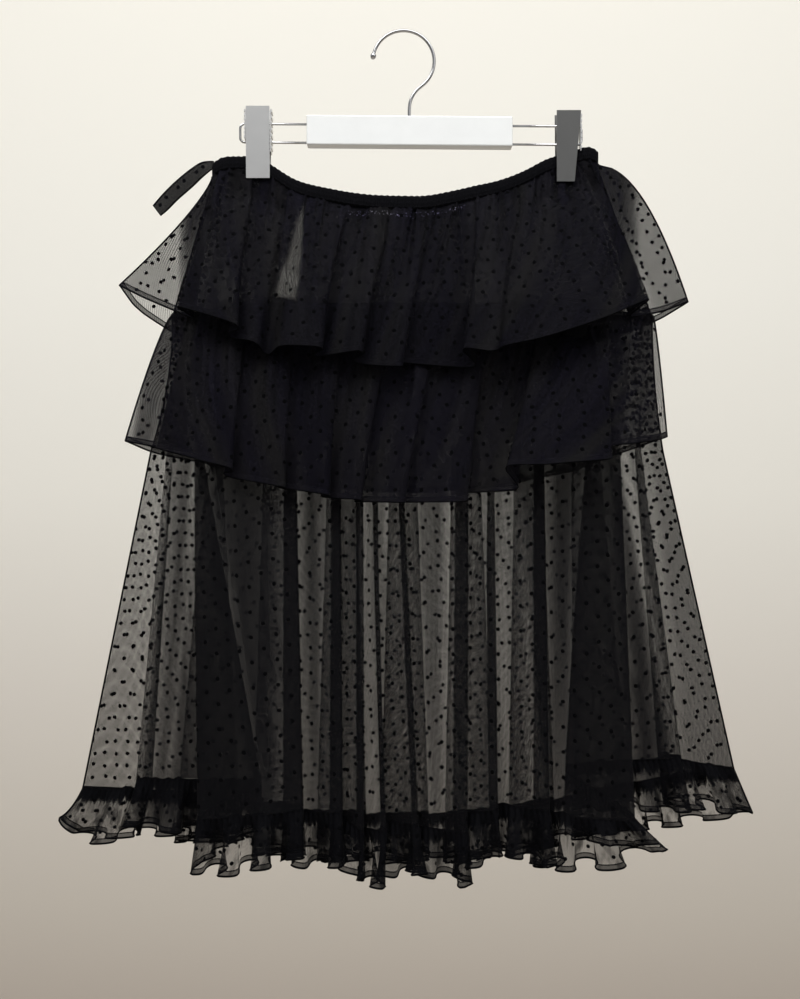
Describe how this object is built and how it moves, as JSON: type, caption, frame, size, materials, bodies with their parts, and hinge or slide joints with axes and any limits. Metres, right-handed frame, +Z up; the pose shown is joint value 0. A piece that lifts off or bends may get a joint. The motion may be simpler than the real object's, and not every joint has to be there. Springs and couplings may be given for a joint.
{
  "type": "layered skirt on a clip hanger",
  "caption": "Layered skirt of dotted tulle with two flounces, a gathered band and a frilled hem, hung by its waistband from a clip hanger.",
  "frame": {"origin": "top of the inside of the hanger's hook, where a rail or wall hook holds it", "axes": "+Z up, +X to the viewer's right, the skirt's front faces -Y and the wall behind it is at +Y"},
  "size_m": [0.6249, 0.1227, 0.7587],
  "materials": {
    "long_tulle": "sheer dotted tulle",
    "frill_tulle": "sheer dotted tulle",
    "upper_tulle": "sheer dotted tulle",
    "lower_tulle": "sheer dotted tulle",
    "band_cloth": "gathered casing",
    "tie_cloth": "dotted ribbon",
    "hook_chrome": "polished",
    "white_block": "satin",
    "rail_steel": "polished",
    "clip_satin": "satin"
  },
  "bodies": {
    "root": {"waistband_front": "band_cloth", "waistband_back": "band_cloth", "long_skirt_front": "long_tulle", "long_skirt_back": "long_tulle", "hem_frill_front": "frill_tulle", "hem_frill_back": "frill_tulle", "upper_tier_front": "upper_tulle", "upper_tier_back": "upper_tulle", "lower_tier_front": "lower_tulle", "lower_tier_back": "lower_tulle", "tie_loop": "tie_cloth", "hanger_hook": "hook_chrome", "hanger_block": "white_block", "rail_left": "rail_steel", "rail_right": "rail_steel", "clip_left": "clip_satin", "clip_right": "clip_satin"}
  },
  "joints": []
}
